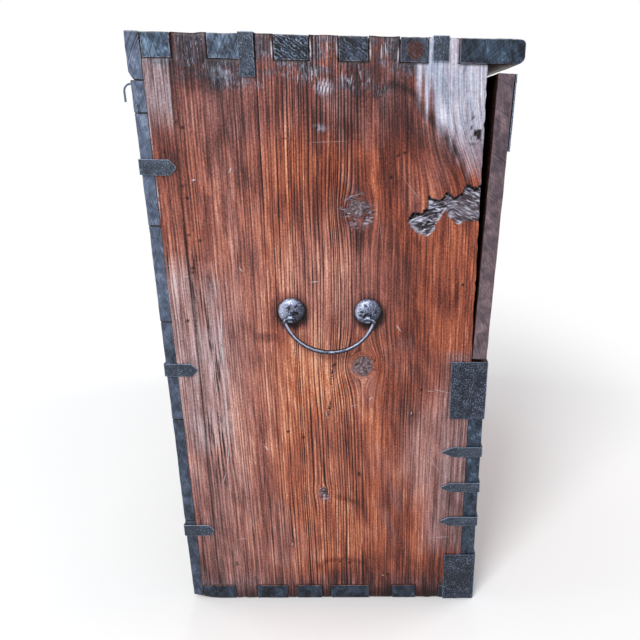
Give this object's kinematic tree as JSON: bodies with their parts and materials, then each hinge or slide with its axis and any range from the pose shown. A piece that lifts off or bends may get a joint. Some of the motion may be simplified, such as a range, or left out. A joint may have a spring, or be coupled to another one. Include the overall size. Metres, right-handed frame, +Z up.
{
  "type": "blanket chest",
  "caption": "Rustic wooden blanket chest with a drop-front flap, box-jointed ends, forged iron straps, a hinged hasp and bail handles.",
  "frame": {"origin": "on the floor, under the middle of the carcass (boards only, without the overhang)", "axes": "+X along the width, the front faces -Y, +Z up; the pictured end is the -X end"},
  "size_m": [0.936, 0.5072, 0.848],
  "materials": {
    "lacquered_pine": "worn reddish-brown lacquer on ridged pine",
    "weathered_pine": "bare weathered end grain and boards",
    "forged_iron": "blackened, hammered and worn"
  },
  "bodies": {
    "case": {"top_board": "lacquered_pine", "floor_board": "lacquered_pine", "left_end_board": "lacquered_pine", "left_end_strip": "lacquered_pine", "right_end_board": "lacquered_pine", "right_end_strip": "lacquered_pine", "lower_front_board": "lacquered_pine", "back_rail": "weathered_pine", "back_board_1": "weathered_pine", "back_board_2": "weathered_pine", "back_board_3": "weathered_pine", "back_board_4": "weathered_pine", "back_board_5": "weathered_pine", "back_board_6": "weathered_pine", "left_hinge_case_leaf": "forged_iron", "middle_hinge_case_leaf": "forged_iron", "right_hinge_case_leaf": "forged_iron", "hinge_pins": "forged_iron", "hasp_strap": "forged_iron", "hasp_pin": "forged_iron", "left_upper_corner_iron": "forged_iron", "right_upper_corner_iron": "forged_iron", "left_bottom_corner_iron": "forged_iron", "right_bottom_corner_iron": "forged_iron", "left_corner_strap_1": "forged_iron", "left_corner_strap_2": "forged_iron", "left_corner_strap_3": "forged_iron", "right_corner_strap_1": "forged_iron", "right_corner_strap_2": "forged_iron", "right_corner_strap_3": "forged_iron", "left_back_strap_1": "forged_iron", "left_back_strap_2": "forged_iron", "left_back_strap_3": "forged_iron", "right_back_strap_1": "forged_iron", "right_back_strap_2": "forged_iron", "right_back_strap_3": "forged_iron", "left_top_strap": "forged_iron", "right_top_strap": "forged_iron", "left_broken_strap": "forged_iron", "left_handle_rosettes": "forged_iron", "right_handle_rosettes": "forged_iron", "handle_eyes": "forged_iron", "back_hook": "forged_iron", "back_staple": "forged_iron", "case_nails": "forged_iron"},
    "flap": {"flap_board": "lacquered_pine", "left_hinge_flap_leaf": "forged_iron", "middle_hinge_flap_leaf": "forged_iron", "right_hinge_flap_leaf": "forged_iron", "lock_plate": "forged_iron", "lock_staple": "forged_iron", "left_flap_corner_plate": "forged_iron", "right_flap_corner_plate": "forged_iron", "flap_nails": "forged_iron"},
    "hasp": {"hasp": "forged_iron"},
    "left_bail": {"left_bail": "forged_iron"},
    "right_bail": {"right_bail": "forged_iron"}
  },
  "joints": [
    {"name": "flap_hinge", "type": "hinge", "parent": "case", "child": "flap", "pos_m": [0, -0.2308, 0.419], "axis": [1, 0, 0], "range_deg": [-1.8, 172]},
    {"name": "hasp_hinge", "type": "hinge", "parent": "case", "child": "hasp", "pos_m": [0, -0.2528, 0.8365], "axis": [1, 0, 0], "range_deg": [0, 270]},
    {"name": "left_bail_swing", "type": "hinge", "parent": "case", "child": "left_bail", "pos_m": [-0.463, -0.0065, 0.484], "axis": [0, 1, 0], "range_deg": [-10, 175]},
    {"name": "right_bail_swing", "type": "hinge", "parent": "case", "child": "right_bail", "pos_m": [0.463, -0.0065, 0.484], "axis": [0, -1, 0], "range_deg": [-10, 175]}
  ]
}
